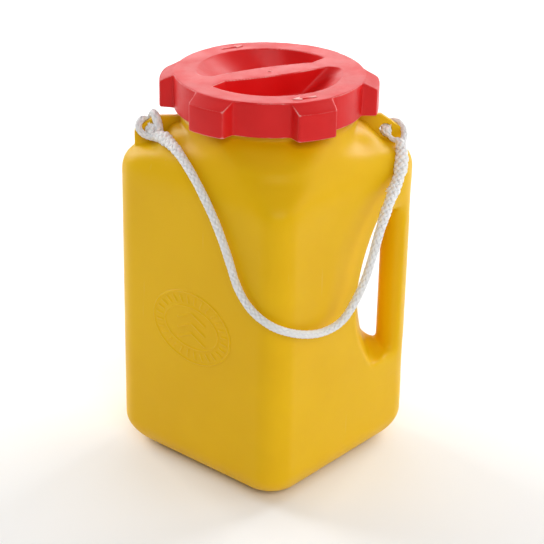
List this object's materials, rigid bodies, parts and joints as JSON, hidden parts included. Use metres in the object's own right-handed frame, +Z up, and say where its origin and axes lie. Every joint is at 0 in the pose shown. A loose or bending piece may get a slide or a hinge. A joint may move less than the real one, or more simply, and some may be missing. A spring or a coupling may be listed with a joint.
{
  "type": "wide mouth safety container",
  "caption": "Square wide-mouth plastic container with corner handle, lobed screw cap with grip bar, sealing ring and rope lanyard.",
  "frame": {"origin": "middle of the base, on the surface it stands on", "axes": "+Z up; the corners of the square point along X and Y, both lugs lie in the XZ plane, the handle is the corner at +X and the rope hangs over the -Y corner"},
  "size_m": [0.234, 0.2468, 0.3264],
  "materials": {
    "body_plastic": "satin blow-moulded polyethylene with fine scuffs",
    "cap_plastic": "satin injection-moulded polyethylene, edges worn pale",
    "seal_rubber": "matte",
    "rope": "white hollow-braid polyethylene rope"
  },
  "bodies": {
    "container": {"container_body": "body_plastic", "lanyard_rope": "rope", "left_eye_splice": "rope", "right_eye_splice": "rope"},
    "gasket": {"cap_gasket": "seal_rubber"},
    "cap": {"screw_cap": "cap_plastic"}
  },
  "joints": [
    {"name": "cap_lift", "type": "slide", "parent": "container", "child": "gasket", "axis": [0, 0, 1], "range_m": [0, 0.022]},
    {"name": "cap_turn", "type": "hinge", "parent": "gasket", "child": "cap", "pos_m": [0, 0, 0.312], "axis": [0, 0, 1], "range_deg": [0, 990]}
  ],
  "couplings": [
    {"joint": "cap_lift", "follows": "cap_turn", "m_per_rad": 0.0012732}
  ]
}
